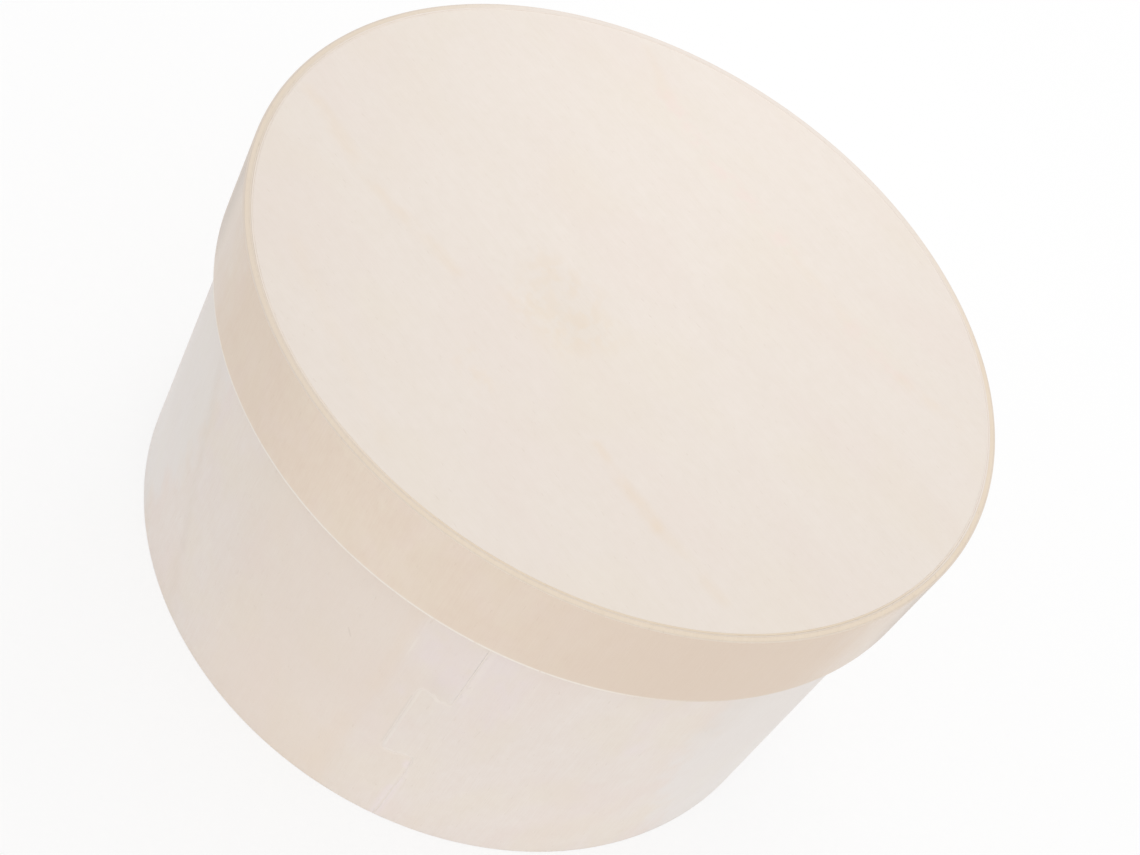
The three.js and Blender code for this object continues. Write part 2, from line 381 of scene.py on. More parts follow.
def vector(tree, x=0.0, y=0.0, z=0.0):
    return out(tree, "ShaderNodeCombineXYZ", {"X": x, "Y": y, "Z": z})


def vector_calc(tree, operation, *values):
    return out(tree, "ShaderNodeVectorMath", dict(enumerate(values)), operation=operation)


def scaled(tree, arrow, amount):
    return out(tree, "ShaderNodeVectorMath", {0: arrow, "Scale": amount}, operation="SCALE")


def measured(tree, operation, *values):
    """A number worked out from vectors, such as a distance."""
    return add(tree, "ShaderNodeVectorMath", dict(enumerate(values)), operation=operation).outputs["Value"]


def new_group(name, kind, inputs, outputs):
    """A new tree and its inputs. Inputs and outputs are pairs of a kind of socket and its labels."""
    tree = bpy.data.node_groups.new(name, kind)
    for way, sockets in (("OUTPUT", outputs), ("INPUT", inputs)):
        for socket, labels in sockets:
            for label in labels:
                tree.interface.new_socket(label, in_out=way, socket_type=f"NodeSocket{socket}")
    return tree, tree.nodes.new("NodeGroupInput").outputs


# Geometry trees for bent sheets, round sheets and turned glue
def geometry_tree(name, floats, materials):
    """A new geometry tree and its inputs: what is drawn, its named sizes and its materials."""
    inputs = (("Geometry", ("Geometry",)), ("Float", floats), ("Material", materials))
    return new_group(name, "GeometryNodeTree", inputs, (("Geometry", ("Geometry",)),))


def position(tree):
    where = out(tree, "GeometryNodeInputPosition")
    return add(tree, "ShaderNodeSeparateXYZ", {0: where}).outputs


def thickened(tree, sheet, offset):
    """A closed plate from a sheet that faces away from the offset, and which faces are its cut edges."""
    back = out(tree, "GeometryNodeFlipFaces", {"Mesh": sheet})
    pushed = add(tree, "GeometryNodeExtrudeMesh", {"Mesh": back, "Offset": offset, "Individual": False})
    both = add(tree, "GeometryNodeJoinGeometry")
    for part in (pushed.outputs["Mesh"], sheet):
        tree.links.new(part, both.inputs[0])
    closed = {"Geometry": both.outputs[0], "Distance": MERGE_DISTANCE}
    return out(tree, "GeometryNodeMergeByDistance", closed), pushed.outputs["Side"]


def marked_arrises(tree, plate, depth, thickness, near, far):
    """Marks the sharp edges to be eased: near is the share for those at no depth, far for the others."""
    angle = add(tree, "GeometryNodeInputMeshEdgeAngle").outputs["Unsigned Angle"]
    sharp = calc(tree, "GREATER_THAN", angle, SHARP_ANGLE)
    is_near = calc(tree, "LESS_THAN", depth, MERGE_DISTANCE)
    is_far = calc(tree, "GREATER_THAN", depth, calc(tree, "SUBTRACT", thickness, MERGE_DISTANCE))
    eased = calc(tree, "ADD", calc(tree, "MULTIPLY", is_near, near), calc(tree, "MULTIPLY", is_far, far))
    weight = calc(tree, "MULTIPLY", eased, sharp)
    stored = {"Geometry": plate, "Name": "bevel_weight_edge", "Value": weight}
    return out(tree, "GeometryNodeStoreNamedAttribute", stored, data_type="FLOAT", domain="EDGE")


def ended(tree, geometry, face, side=None, edge=None):
    """Ends a tree: everything real, with the face's material, and the edge's on the cut edges."""
    real = out(tree, "GeometryNodeRealizeInstances", {"Geometry": geometry})
    finished = out(tree, "GeometryNodeSetMaterial", {"Geometry": real, "Material": face})
    if side is not None:
        cut = {"Geometry": finished, "Selection": side, "Material": edge}
        finished = out(tree, "GeometryNodeSetMaterial", cut)
    add(tree, "NodeGroupOutput", {0: finished})
    return tree


def bent_sheet_tree():
    """Bends a flat cut-out, drawn as length along X and height along Z, round the Z axis."""
    sizes = ("Panel radius", "Radius", "Thickness", "Seam turn", "Foot", "Ease outside", "Ease inside")
    tree, given = geometry_tree("bent sheet", sizes, ("Face", "Edge"))
    plate, side = thickened(tree, given["Geometry"], vector(tree, y=given["Thickness"]))
    flat = position(tree)
    drawn = {"Geometry": plate, "Name": "panel", "Value": vector(tree, flat["X"], flat["Z"])}
    mapped = add(tree, "GeometryNodeStoreNamedAttribute", drawn, data_type="FLOAT2", domain="CORNER")
    eases = given["Ease outside"], given["Ease inside"]
    edged = marked_arrises(tree, mapped.outputs[0], flat["Y"], given["Thickness"], *eases)
    angle = calc(tree, "ADD", calc(tree, "DIVIDE", flat["X"], given["Panel radius"]), given["Seam turn"])
    radius = calc(tree, "SUBTRACT", given["Radius"], flat["Y"])
    x = calc(tree, "MULTIPLY", radius, calc(tree, "SINE", angle))
    y = calc(tree, "MULTIPLY", radius, calc(tree, "MULTIPLY", calc(tree, "COSINE", angle), -1.0))
    place = vector(tree, x, y, calc(tree, "ADD", flat["Z"], given["Foot"]))
    bent = out(tree, "GeometryNodeSetPosition", {"Geometry": edged, "Position": place})
    return ended(tree, bent, given["Face"], side, given["Edge"])


def round_sheet_tree():
    """Cuts a flat round sheet, with its underside at Foot."""
    sizes = ("Radius", "Thickness", "Foot", "Ease underside", "Ease top")
    tree, given = geometry_tree("round sheet", sizes, ("Face", "Edge"))
    circle = {"Vertices": COLUMNS_ROUND, "Radius": given["Radius"]}
    facing_up = out(tree, "GeometryNodeMeshCircle", circle, fill_type="NGON")
    underside = out(tree, "GeometryNodeFlipFaces", {"Mesh": facing_up})
    plate, side = thickened(tree, underside, vector(tree, z=given["Thickness"]))
    eases = given["Ease underside"], given["Ease top"]
    edged = marked_arrises(tree, plate, position(tree)["Z"], given["Thickness"], *eases)
    raised = {"Geometry": edged, "Offset": vector(tree, z=given["Foot"])}
    placed = out(tree, "GeometryNodeSetPosition", raised)
    return ended(tree, placed, given["Face"], side, given["Edge"])


def glue_ring_tree():
    """Turns a profile round the Z axis, unevenly. It is drawn out from Radius along X and down along Y."""
    tree, given = geometry_tree("glue ring", ("Radius", "Wobble", "Wobble size"), ("Face",))
    profile = out(tree, "GeometryNodeMeshToCurve", {"Mesh": given["Geometry"]})
    circle = {"Resolution": COLUMNS_ROUND, "Radius": given["Radius"]}
    path = out(tree, "GeometryNodeCurvePrimitiveCircle", circle)
    level = out(tree, "GeometryNodeSetCurveNormal", {"Curve": path}, mode="Z_UP")
    swept = out(tree, "GeometryNodeCurveToMesh", {"Curve": level, "Profile Curve": profile})
    scale = calc(tree, "DIVIDE", 1.0, given["Wobble size"])
    lumps = out(tree, "ShaderNodeTexNoise", {"Scale": scale, "Detail": USUAL_DETAIL})
    inward = calc(tree, "MULTIPLY", lumps, calc(tree, "MULTIPLY", given["Wobble"], -1.0))
    shift = scaled(tree, out(tree, "GeometryNodeInputNormal"), inward)
    uneven = out(tree, "GeometryNodeSetPosition", {"Geometry": swept, "Offset": shift})
    return ended(tree, uneven, given["Face"])


BENT_SHEET = bent_sheet_tree()
ROUND_SHEET = round_sheet_tree()
GLUE_RING = glue_ring_tree()


def draft(name, verts, edges=(), faces=()):
    mesh = bpy.data.meshes.new(name)
    mesh.from_pydata(verts, edges, faces)
    return new_object(name, mesh)


def shaped(name, drawn, tree, values, ease=0.0):
    """Runs a tree with its named values on what is drawn, eases the marked edges and keeps a plain mesh."""
    modifier = drawn.modifiers.new(tree.name, "NODES")
    modifier.node_group = tree
    for socket in tree.interface.items_tree:
        if socket.name in values:
            modifier[socket.identifier] = values[socket.name]
    if ease:
        bevel = drawn.modifiers.new("eased edges", "BEVEL")
        bevel.limit_method = "WEIGHT"
        bevel.width = ease
        bevel.segments = EASE_STEPS
        bevel.use_clamp_overlap = False
    depsgraph = bpy.context.evaluated_depsgraph_get()
    result = drawn.evaluated_get(depsgraph)
    mesh = bpy.data.meshes.new_from_object(result, preserve_all_data_layers=True, depsgraph=depsgraph)
    bpy.data.objects.remove(drawn)
    mesh.name = name
    mesh.shade_smooth()
    mesh.set_sharp_from_angle(angle=SHARP_ANGLE)
    return new_object(name, mesh)


def fitted(obj, node, body):
    """The piece stands for a node of the frame, which is hidden, and rides on a body."""
    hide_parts(node)
    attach(obj, body)


# Flat cut-outs, drawn as length along X and height along Y
def eased_line(corners, longest_ease):
    """The line through the corners, each rounded by a curve that starts up to the longest ease before it."""
    line = [corners[0]]
    for before, corner, after in zip(corners, corners[1:], corners[2:]):
        ease = min(longest_ease, (before - corner).length / 2, (after - corner).length / 2)
        arrive = corner + (before - corner).normalized() * ease
        leave = corner + (after - corner).normalized() * ease
        for step in range(CORNER_STEPS + 1):
            share = step / CORNER_STEPS
            line.append(arrive.lerp(corner, share).lerp(corner.lerp(leave, share), share))
    return line + [corners[-1]]


def moved_aside(line, distance):
    """The line moved sideways, to its left where the distance is positive."""
    moved = []
    for i, point in enumerate(line):
        way = (line[min(i + 1, len(line) - 1)] - line[max(i - 1, 0)]).normalized()
        moved.append(point + Vector((-way.y, way.x)) * distance)
    return moved


def between(line, low, high):
    """The part of a rising line that lies between two heights."""
    kept = []
    for start, end in zip(line, line[1:]):
        for height in (low, high):
            if min(start.y, end.y) < height < max(start.y, end.y):
                kept.append(start.lerp(end, (height - start.y) / (end.y - start.y)))
        if low <= end.y <= high:
            kept.append(end)
        if end.y > high:
            break
    return kept


def seam_course(height, reach, lean, tab_shares):
    """The seam's course in the flat panel: straight up, out round each tab and back."""
    corners = [Vector((0, -SEAM_OVERRUN))]
    for from_share, to_share in tab_shares:
        start, end = from_share * height, to_share * height
        corners.append(Vector((lean, start + TAB_FLARE)))
        corners.append(Vector((-reach, start - TAB_FLARE)))
        corners.append(Vector((-reach, end + TAB_FLARE)))
        corners.append(Vector((lean, end - TAB_FLARE)))
    corners.append(Vector((lean, max(height, corners[-1].y) + SEAM_OVERRUN)))
    return eased_line(corners, TAB_CORNER_EASE)


def seam_sides(seam, aside, margin):
    """The lines to the right and left of a seam, which end a margin inside the panel."""
    course = seam_course(*seam)
    return [between(moved_aside(course, way), margin, seam[0] - margin) for way in (-aside, aside)]


def panel_outline(seam, length, margin):
    """The outline of a panel that is bent into a ring, a margin inside its cut edges."""
    start, end = seam_sides(seam, SEAM_KERF / 2 + margin, margin)
    return start[::-1] + [point + Vector((length, 0)) for point in end]


def kerf_outline(seam):
    """The outline of the glue in a seam's kerf, a little inside it all round."""
    right, left = seam_sides(seam, SEAM_KERF / 2 - SEAM_GLUE_CLEARANCE, SEAM_GLUE_RECESS)
    return right + left[::-1]


def strip_outline(half_width, height, margin):
    side = half_width - margin
    low, high = margin, height - margin
    return [Vector(corner) for corner in ((-side, low), (side, low), (side, high), (-side, high))]


def loop_edges(first, count):
    return [(first + i, first + (i + 1) % count) for i in range(count)]


def on_outline(faces):
    """The corners on a sheet's outline: those of edges with a face on one side only."""
    sides = Counter(frozenset(pair) for face in faces for pair in zip(face, face[1:] + face[:1]))
    return {corner for edge, count in sides.items() if count == 1 for corner in edge}


def cut_out(name, outline, inset, pitch):
    """A flat sheet inside the outline, in columns so that it bends smoothly, with a lip to its inset."""
    points = outline + inset
    edges = loop_edges(0, len(outline)) + loop_edges(len(outline), len(inset))
    lengths = [point.x for point in outline]
    low = min(point.y for point in outline) - SEAM_OVERRUN
    high = max(point.y for point in outline) + SEAM_OVERRUN
    first, last = math.floor(min(lengths) / pitch), math.ceil(max(lengths) / pitch)
    for column in range(first, last):
        x = (column + 0.5) * pitch
        edges.append((len(points), len(points) + 1))
        points += [Vector((x, low)), Vector((x, high))]
    inside = [list(range(len(outline)))]
    cut = delaunay_2d_cdt(points, edges, inside, CUT_WITHIN_OUTLINE, CUT_TOLERANCE)
    verts, faces, whose = cut[0], cut[2], cut[5]
    kept = [face for face, owners in zip(faces, whose) if owners]
    used = sorted({corner for face in kept for corner in face})
    number = {corner: i for i, corner in enumerate(used)}
    kept = [[number[corner] for corner in face] for face in kept]
    sheet = draft(name, [(verts[corner].x, 0, verts[corner].y) for corner in used], faces=kept)
    rim = on_outline(kept)
    lip = sheet.data.attributes.new("lip", "FLOAT", "POINT")
    lip.data.foreach_set("value", [float(i in rim) for i in range(len(used))])
    return sheet


# Materials
def paint(tone):
    """A screen colour, 0 to 255 each, as the linear colour that a shader takes."""
    return (*Color([part / 255 for part in tone]).from_srgb_to_scene_linear(), 1.0)


def empty_tree(owner):
    """The node tree of a material or a world, emptied."""
    owner.use_nodes = True
    owner.node_tree.nodes.clear()
    return owner.node_tree


def new_material(name):
    material = bpy.data.materials.new(name)
    tree = empty_tree(material)
    shader = add(tree, "ShaderNodeBsdfPrincipled")
    add(tree, "ShaderNodeOutputMaterial", {"Surface": shader.outputs[0]})
    return material, tree, shader


def mixed(tree, amount, low, high):
    """A mix of two colours. The node's sockets for colours are its inputs 6 and 7 and its output 2."""
    return add(tree, "ShaderNodeMix", {0: amount, 6: low, 7: high}, data_type="RGBA").outputs[2]


def laid_over(tree, colour, tone, amount, *shares):
    """Lays a screen colour over another, as strongly as the amount times its shares."""
    for share in shares:
        amount = calc(tree, "MULTIPLY", amount, share)
    return mixed(tree, amount, colour, paint(tone))


def ramp(tree, value, start, end, low=0.0, high=1.0):
    """Low up to the start, high from the end on, and a smooth change between them."""
    inputs = {"Value": value, "From Min": start, "From Max": end, "To Min": low, "To Max": high}
    return out(tree, "ShaderNodeMapRange", inputs, interpolation_type="SMOOTHSTEP")


def noise(tree, place, size, detail=USUAL_DETAIL, seed=0.0):
    """Noise from 0 to 1 whose spots have that size, across and along."""
    spots = vector_calc(tree, "DIVIDE", place, (size[0], size[1], size[0]))
    moved = vector_calc(tree, "ADD", spots, (seed, seed, seed))
    return out(tree, "ShaderNodeTexNoise", {"Vector": moved, "Scale": 1.0, "Detail": detail})


def veneer_group():
    """Birch veneer with its grain along Y: broad figure, fine fibres, short rays, pores and soft mottling."""
    outputs = ("Figure", "Fibres", "Rays", "Mottle", "Pores")
    inputs = (("Vector", ("Place",)),)
    tree, given = new_group("birch veneer", "ShaderNodeTree", inputs, (("Float", outputs),))
    clouds = [noise(tree, given["Place"], *cloud) for cloud in (FIGURE, FIBRES, RAYS, MOTTLE, PORES)]
    clouds[-1] = ramp(tree, clouds[-1], *PORE_RANGE)
    add(tree, "NodeGroupOutput", dict(zip(outputs, clouds)))
    return tree


def streak_group():
    """How strongly a streak between two points shows: 1 along its middle, fading to 0 at its half width."""
    inputs = (("Vector", ("Place", "From", "To")), ("Float", ("Half width",)))
    tree, given = new_group("streak", "ShaderNodeTree", inputs, (("Float", ("Amount",)),))
    whole = vector_calc(tree, "SUBTRACT", given["To"], given["From"])
    part = vector_calc(tree, "SUBTRACT", given["Place"], given["From"])
    reached = measured(tree, "DOT_PRODUCT", part, whole)
    total = measured(tree, "DOT_PRODUCT", whole, whole)
    share = out(tree, "ShaderNodeClamp", {0: calc(tree, "DIVIDE", reached, total)})
    away = measured(tree, "DISTANCE", part, scaled(tree, whole, share))
    add(tree, "NodeGroupOutput", {"Amount": ramp(tree, away, 0.0, given["Half width"], 1.0, 0.0)})
    return tree


VENEER = veneer_group()
STREAK = streak_group()


def panel_place(tree):
    """Where a point of a bent panel was in the flat one: length from the seam, and height."""
    place = out(tree, "ShaderNodeUVMap", uv_map="panel")
    return place, add(tree, "ShaderNodeSeparateXYZ", {0: place}).outputs


def seam_arc(tree, flat, girth):
    """How far right of its seam a point of a bent panel lies, and whether it's on the panel's far end."""
    half = girth / 2
    return calc(tree, "WRAP", flat["X"], half, -half), calc(tree, "GREATER_THAN", flat["X"], half)


def own_place(tree):
    """Where a point lies on the object."""
    return add(tree, "ShaderNodeTexCoord").outputs["Object"]


def disc_place(tree, grain_angle):
    """Where a point of a disc lies, as it is and turned so that its grain runs along Y."""
    place = own_place(tree)
    turn = (0.0, 0.0, math.pi / 2 - grain_angle)
    return place, out(tree, "ShaderNodeMapping", {"Vector": place, "Rotation": turn})


def grain_at(tree, place):
    return add(tree, "ShaderNodeGroup", {"Place": place}, node_tree=VENEER).outputs


def lip_at(tree):
    return add(tree, "ShaderNodeAttribute", attribute_name="lip").outputs["Fac"]


def off_middle(tree, value):
    """How far a noise's value lies from its middle."""
    return calc(tree, "SUBTRACT", value, NOISE_MIDDLE)


def toned(tree, grain, tones):
    """The veneer's colour: between its deep and its pale tone by the grain, with fine dark pores."""
    share = NOISE_MIDDLE - NOISE_MIDDLE * sum(GRAIN_WEIGHTS.values())
    for label, weight in GRAIN_WEIGHTS.items():
        share = calc(tree, "MULTIPLY_ADD", grain[label], weight, share)
    wood = mixed(tree, share, *map(paint, tones))
    return laid_over(tree, wood, PORE, grain["Pores"], PORE_DEPTH)


def surfaced(tree, shader, colour, roughness, height, relief):
    """Gives a shader its colour and roughness, and relief from a height."""
    bump = out(tree, "ShaderNodeBump", {"Height": height, "Strength": 1.0, "Distance": relief})
    for name, value in (("Base Color", colour), ("Roughness", roughness), ("Normal", bump)):
        fill(tree, shader.inputs[name], value)


def wooden(tree, shader, grain, colour, roughness, relief):
    """Gives a wood's shader its colour, and roughness and relief that follow the fibres."""
    spread = roughness + ROUGHNESS_SPREAD, roughness - ROUGHNESS_SPREAD
    uneven = ramp(tree, grain["Fibres"], *FIBRE_RANGE, *spread)
    surfaced(tree, shader, colour, uneven, calc(tree, "SUBTRACT", grain["Fibres"], grain["Pores"]), relief)


def tinted(tree, colour, place, tints):
    """Lays soft clouds of a colour over another."""
    for tint, size, seed, strength in tints:
        cloud = ramp(tree, noise(tree, place, size, seed=seed), *CLOUD_RANGE, 0.0, strength)
        colour = laid_over(tree, colour, tint, cloud)
    return colour


def mark_amount(tree, place, points, half_width):
    """How strongly a mark through the points shows."""
    amount = 0.0
    for start, end in zip(points, points[1:]):
        ends = {"Place": place, "From": (*start, 0.0), "To": (*end, 0.0), "Half width": half_width}
        streak = out(tree, "ShaderNodeGroup", ends, node_tree=STREAK)
        amount = calc(tree, "MAXIMUM", amount, streak)
    return amount


def marked(tree, colour, place, marks, mark_colour, shown=1.0):
    """Lays marks of a colour over another, as far as they are shown there."""
    for points, half_width, strength in marks:
        amount = mark_amount(tree, place, points, half_width)
        colour = laid_over(tree, colour, mark_colour, amount, strength, shown)
    return colour


def wandering(tree, place):
    """The place, pushed about by soft noise so that what is drawn there isn't ruler straight."""
    cloud = add(tree, "ShaderNodeTexNoise", {"Vector": place, "Scale": 1 / MARK_WANDER_SIZE}).outputs["Color"]
    push = scaled(tree, vector_calc(tree, "SUBTRACT", cloud, (NOISE_MIDDLE,) * 3), MARK_WANDER * 2)
    return vector_calc(tree, "MULTIPLY", vector_calc(tree, "ADD", place, push), FLATTENED)


def broken(tree, place, specks=MARK_SPECKS, breaks=MARK_BREAKS):
    """Where marks show: they come and go in specks."""
    return ramp(tree, noise(tree, place, specks, SPECK_DETAIL, SPECK_SEED), *breaks)


def plain_wood(name, tones, finish, grain_angle=None):
    """Veneer with nothing but its grain, on a bent panel or, given a grain angle, on a disc."""
    material, tree, shader = new_material(name)
    place = panel_place(tree)[0] if grain_angle is None else disc_place(tree, grain_angle)[1]
    grain = grain_at(tree, place)
    wooden(tree, shader, grain, toned(tree, grain, tones), *finish)
    return material


def base_face():
    return plain_wood("base_face", BASE_TONES, DISC_FINISH, BASE_GRAIN_ANGLE)


def lid_underside():
    return plain_wood("lid_underside", BASE_TONES, DISC_FINISH, LID_GRAIN_ANGLE)


def lid_face():
    """The lid's top veneer, with amber mineral streaks, mottled blotches and a few flecks."""
    material, tree, shader = new_material("lid_face")
    place, turned = disc_place(tree, LID_GRAIN_ANGLE)
    grain = grain_at(tree, turned)
    colour = tinted(tree, toned(tree, grain, LID_TONES), turned, LID_TINTS)
    loose = wandering(tree, place)
    colour = marked(tree, colour, loose, LID_STAINS, STAIN)
    colour = marked(tree, colour, loose, LID_STREAKS, AMBER, broken(tree, place))
    blushing = broken(tree, place, BLUSH_SPECKS, BLUSH_BREAKS)
    colour = marked(tree, colour, loose, LID_BLUSHES, BLUSH, blushing)
    mottled = broken(tree, place, BLOTCH_SPECKS, BLOTCH_BREAKS)
    colour = marked(tree, colour, loose, LID_BLOTCHES, AMBER, mottled)
    colour = marked(tree, colour, place, LID_FLECKS, FLECK)
    wooden(tree, shader, grain, colour, *DISC_FINISH)
    return material


def warm_part(tree, colour, arc, is_far_end):
    """The far end's warm part, which ends where the strip backs it."""
    start = ramp(tree, arc, *WARM_RISE, 0.0, WARM_STRENGTH)
    end = ramp(tree, arc, *WARM_FALL, 1.0, WARM_LEAST)
    return laid_over(tree, colour, WARM, start, end, is_far_end)


def painted_sheen(tree, colour, arc, uneven, middle, reach, strength, lean=0.0):
    """Painted sheen: cooler, paler parts to both sides of a panel's front, which end before its back."""
    aside = calc(tree, "ADD", calc(tree, "ABSOLUTE", calc(tree, "SUBTRACT", arc, middle)), lean)
    loose = calc(tree, "MULTIPLY_ADD", uneven, SHEEN_UNEVEN, aside)
    back = ramp(tree, aside, *SHEEN_END, strength, 0.0)
    return laid_over(tree, colour, PAINTED_SHEEN, ramp(tree, loose, *reach), back)


def strip_ghost(tree, colour, place, arc, level):
    """The backing strip's ghost: a cool cast over it in the upper wall, and a faint line along each edge."""
    shown = ramp(tree, noise(tree, place, *GHOST_SPECKS), *GHOST_BREAKS)
    upper = calc(tree, "MULTIPLY", ramp(tree, level, *GHOST_LEVEL), shown)
    from_seam = calc(tree, "ABSOLUTE", arc)
    behind = ramp(tree, from_seam, *GHOST_REACH, GHOST_STRENGTH, 0.0)
    colour = laid_over(tree, colour, LAVENDER, behind, upper)
    from_line = calc(tree, "ABSOLUTE", calc(tree, "SUBTRACT", from_seam, GHOST_LINE_AT))
    line = ramp(tree, from_line, 0.0, GHOST_LINE_HALF_WIDTH, 1.0, 0.0)
    strength = ramp(tree, arc, *GHOST_LINE_FADE, *GHOST_LINE_STRENGTHS)
    return laid_over(tree, colour, LIP_PALE, line, upper, strength)


def seam_stripe(tree, colour, arc, level):
    """A cool stripe along the foot of the seam."""
    near = ramp(tree, calc(tree, "ABSOLUTE", arc), *STRIPE_REACH, 1.0, 0.0)
    low = ramp(tree, level, *STRIPE_LEVEL, STRIPE_STRENGTH, 0.0)
    return laid_over(tree, colour, PINK, near, low)


def seam_lip(tree, colour, arc, is_far_end):
    """The pale, frayed lip on both sides of the seam, stronger on the near one as a painted highlight on its
    rounded edge.
    """
    strength = calc(tree, "MULTIPLY_ADD", is_far_end, FAR_LIP_STRENGTH - NEAR_LIP_STRENGTH, NEAR_LIP_STRENGTH)
    at_seam = ramp(tree, calc(tree, "ABSOLUTE", arc), *LIP_REACH, 1.0, 0.0)
    return laid_over(tree, colour, LIP_PALE, ramp(tree, lip_at(tree), *LIP_RANGE), at_seam, strength)


def wall_face(girth):
    """The wall's outer veneer: warm at its far end, with the strip's ghost and a pale lip at the seam."""
    material, tree, shader = new_material("wall_face")
    place, flat = panel_place(tree)
    grain = grain_at(tree, place)
    arc, is_far_end = seam_arc(tree, flat, girth)
    seam_place = vector(tree, arc, flat["Y"])
    colour = tinted(tree, toned(tree, grain, WALL_TONES), place, WALL_TINTS)
    colour = warm_part(tree, colour, arc, is_far_end)
    uneven = off_middle(tree, grain["Mottle"])
    # painted sheen: cooler, paler ends to both sides of the wall's front
    lean = ramp(tree, flat["Y"], *SHEEN_LEAN_LEVEL, *SHEEN_LEAN)
    colour = painted_sheen(tree, colour, arc, uneven, SHEEN_MIDDLE, SHEEN_REACH, SHEEN_STRENGTH, lean)
    # painted shade: the wall darker towards its top, under the lid
    shade = ramp(tree, flat["Y"], *UPPER_SHADE_LEVEL, 0.0, UPPER_SHADE_STRENGTH)
    colour = laid_over(tree, colour, WALL_SHADE, shade)
    level = calc(tree, "MULTIPLY_ADD", uneven, GHOST_UNEVEN, flat["Y"])
    colour = strip_ghost(tree, colour, seam_place, arc, level)
    colour = seam_stripe(tree, colour, arc, level)
    loose = wandering(tree, seam_place)
    # stains, and painted shade at the upper right
    colour = marked(tree, colour, loose, WALL_STAINS_AND_SHADE, STAIN)
    colour = marked(tree, colour, loose, WALL_STREAKS, AMBER)
    colour = marked(tree, colour, loose, WALL_COOL_STREAKS, LAVENDER, broken(tree, seam_place))
    colour = marked(tree, colour, seam_place, WALL_FLECKS, FLECK)
    # pale frayed lip at the seam, with a painted highlight on its near side
    colour = seam_lip(tree, colour, arc, is_far_end)
    # painted shadows along the seam
    colour = marked(tree, colour, seam_place, WALL_SEAM_SHADES, SEAM_SHADE)
    # pale lips along the seam, with painted highlights on the tab's edges
    colour = marked(tree, colour, seam_place, WALL_SEAM_LIPS_AND_HIGHLIGHTS, LIP_PALE)
    wooden(tree, shader, grain, colour, *WALL_FINISH)
    return material


def wall_inside():
    return plain_wood("wall_inside", WALL_TONES, WALL_FINISH)


def shaded_parts(tree, colour, arc):
    """The band's painted shade: darker from its front to its right, and fainter to its left."""
    fall = ramp(tree, arc, *SHADE_FALL, 1.0, SHADE_LEAST)
    right = calc(tree, "MULTIPLY", ramp(tree, arc, *SHADE_RISE, 0.0, SHADE_STRENGTH), fall)
    left = ramp(tree, arc, *LEFT_SHADE_RISE, LEFT_SHADE_STRENGTH, 0.0)
    return laid_over(tree, colour, BAND_SHADE, calc(tree, "MAXIMUM", left, right))


def frayed_edge(tree, colour, place, arc, height):
    """The pale fray along the band's lower edge, which fades to its right and towards its back."""
    is_lower = calc(tree, "LESS_THAN", height, LIP_WIDTH)
    frayed = ramp(tree, lip_at(tree), *FRAY_RANGE, 0.0, FRAY_STRENGTH)
    start = ramp(tree, arc, *FRAY_RISE, FRAY_FADED)
    shown = calc(tree, "MINIMUM", start, ramp(tree, arc, *FRAY_FADE, 1.0, FRAY_FADED))
    uneven = ramp(tree, noise(tree, place, *FRAY_SPECKS), *FRAY_BREAKS, FRAY_LEAST, 1.0)
    return laid_over(tree, colour, LIP_PALE, frayed, is_lower, shown, uneven)


def band_face(girth):
    """The lid band's veneer, warmer than the rest, frayed to a pale line along its lower edge."""
    material, tree, shader = new_material("band_face")
    place, flat = panel_place(tree)
    grain = grain_at(tree, place)
    arc = calc(tree, "SUBTRACT", flat["X"], girth / 2)
    colour = tinted(tree, toned(tree, grain, BAND_TONES), place, BAND_TINTS)
    # painted shade: the band darker to its right and, fainter, to its left
    colour = shaded_parts(tree, colour, arc)
    # painted sheen: cooler, paler ends to both sides of the band's front
    uneven = off_middle(tree, grain["Mottle"])
    colour = painted_sheen(tree, colour, arc, uneven, BAND_SHEEN_MIDDLE, BAND_SHEEN_REACH, BAND_SHEEN_STRENGTH)
    # painted shade at the band's two sides
    colour = marked(tree, colour, vector(tree, arc, flat["Y"]), BAND_SIDE_SHADES, SIDE_SHADE)
    colour = frayed_edge(tree, colour, place, arc, flat["Y"])
    colour = seam_lip(tree, colour, *seam_arc(tree, flat, girth))
    wooden(tree, shader, grain, colour, *BAND_FINISH)
    return material


def band_inside():
    return plain_wood("band_inside", BAND_TONES, BAND_FINISH)


def cast(tree, colour, place, casts):
    """Lays casts over a colour, each towards one side of the object."""
    for direction, reach, tone in casts:
        along = measured(tree, "DOT_PRODUCT", place, (math.cos(direction), math.sin(direction), 0.0))
        colour = laid_over(tree, colour, tone, ramp(tree, along, *reach))
    return colour


def cut_edge(name, tones, casts=()):
    """A cut edge of veneer: its speckle comes from where it lies on the object."""
    material, tree, shader = new_material(name)
    place = own_place(tree)
    grain = grain_at(tree, place)
    colour = cast(tree, toned(tree, grain, tones), place, casts)
    wooden(tree, shader, grain, colour, *EDGE_FINISH)
    return material


def strip_face():
    return plain_wood("strip_face", STRIP_TONES, WALL_FINISH)


def dried_glue(name, tones, casts=()):
    """Dried wood glue: cloudy in places, and smooth enough to shine a little."""
    material, tree, shader = new_material(name)
    place = own_place(tree)
    cloud = noise(tree, place, *GLUE_CLOUD)
    colour = cast(tree, mixed(tree, cloud, *map(paint, tones)), place, casts)
    surfaced(tree, shader, colour, ramp(tree, cloud, *FIBRE_RANGE, *GLUE_ROUGHNESS), cloud, GLUE_RELIEF)
    return material


# Pieces
def plies_of(panel, glue_ring):
    """The three plies of a bent panel, from the outside in: node, outer radius and thickness."""
    nodes = [f"{panel}_{place}_ply" for place in ("outer", "core", "inner")]
    radii = [outer_radius(node) for node in nodes + [glue_ring]]
    thicknesses = [outside - inside - GLUE_FILM for outside, inside in zip(radii, radii[1:])]
    return list(zip(nodes, radii, thicknesses))


